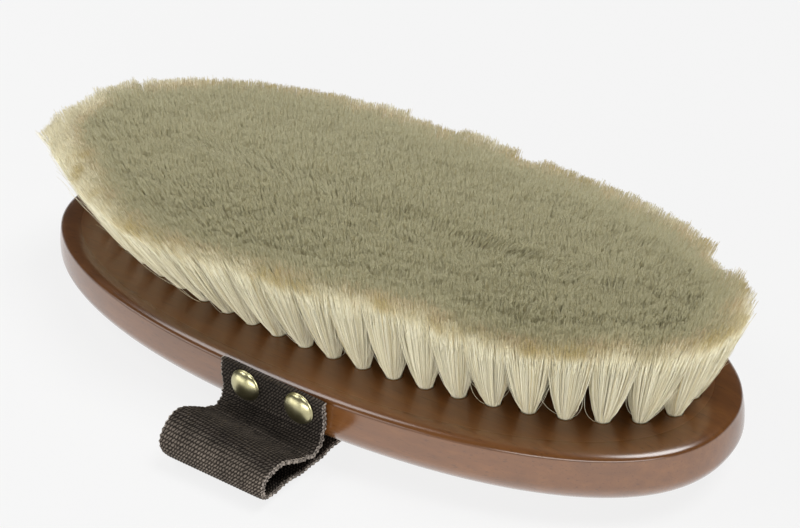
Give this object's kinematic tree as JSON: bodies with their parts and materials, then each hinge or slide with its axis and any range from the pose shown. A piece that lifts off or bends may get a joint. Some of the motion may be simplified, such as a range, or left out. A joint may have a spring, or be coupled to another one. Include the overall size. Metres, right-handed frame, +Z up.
{
  "type": "body brush",
  "caption": "Oval wooden-backed body brush with goat-hair tufts, trimmed flat, and a webbing hand strap nailed to the sides, lying on its back.",
  "frame": {"origin": "on the flat underside of the hand strap, beneath the middle of the board, at the surface that the brush stands on", "axes": "+X along the length of the brush, +Y away from the side where the strap's slack lies, +Z up towards the hair tips"},
  "size_m": [0.206, 0.1202, 0.0469],
  "materials": {
    "varnished_wood": "reddish-brown stain under clear glossy varnish",
    "goat_hair": "natural cream hair with greyish khaki cut tips, matt",
    "cotton_webbing": "dark brown twill webbing with a ribbed weave, matt",
    "brass": "brassed steel, pressed and lightly polished"
  },
  "bodies": {
    "root": {"brush_board": "varnished_wood", "outer_tuft_01": "goat_hair", "outer_tuft_02": "goat_hair", "outer_tuft_03": "goat_hair", "outer_tuft_04": "goat_hair", "outer_tuft_05": "goat_hair", "outer_tuft_06": "goat_hair", "outer_tuft_07": "goat_hair", "outer_tuft_08": "goat_hair", "outer_tuft_09": "goat_hair", "outer_tuft_10": "goat_hair", "outer_tuft_11": "goat_hair", "outer_tuft_12": "goat_hair", "outer_tuft_13": "goat_hair", "outer_tuft_14": "goat_hair", "outer_tuft_15": "goat_hair", "outer_tuft_16": "goat_hair", "outer_tuft_17": "goat_hair", "outer_tuft_18": "goat_hair", "outer_tuft_19": "goat_hair", "outer_tuft_20": "goat_hair", "outer_tuft_21": "goat_hair", "outer_tuft_22": "goat_hair", "outer_tuft_23": "goat_hair", "outer_tuft_24": "goat_hair", "outer_tuft_25": "goat_hair", "outer_tuft_26": "goat_hair", "outer_tuft_27": "goat_hair", "outer_tuft_28": "goat_hair", "outer_tuft_29": "goat_hair", "outer_tuft_30": "goat_hair", "outer_tuft_31": "goat_hair", "outer_tuft_32": "goat_hair", "outer_tuft_33": "goat_hair", "outer_tuft_34": "goat_hair", "outer_tuft_35": "goat_hair", "outer_tuft_36": "goat_hair", "outer_tuft_37": "goat_hair", "outer_tuft_38": "goat_hair", "outer_tuft_39": "goat_hair", "outer_tuft_40": "goat_hair", "outer_tuft_41": "goat_hair", "outer_tuft_42": "goat_hair", "outer_tuft_43": "goat_hair", "outer_tuft_44": "goat_hair", "outer_tuft_45": "goat_hair", "outer_tuft_46": "goat_hair", "outer_tuft_47": "goat_hair", "second_tuft_ring": "goat_hair", "third_tuft_ring": "goat_hair", "inner_tuft_ring": "goat_hair", "centre_tuft_row": "goat_hair", "hand_strap": "cotton_webbing", "near_nail_left": "brass", "near_nail_right": "brass", "far_nail_left": "brass", "far_nail_right": "brass"}
  },
  "joints": []
}
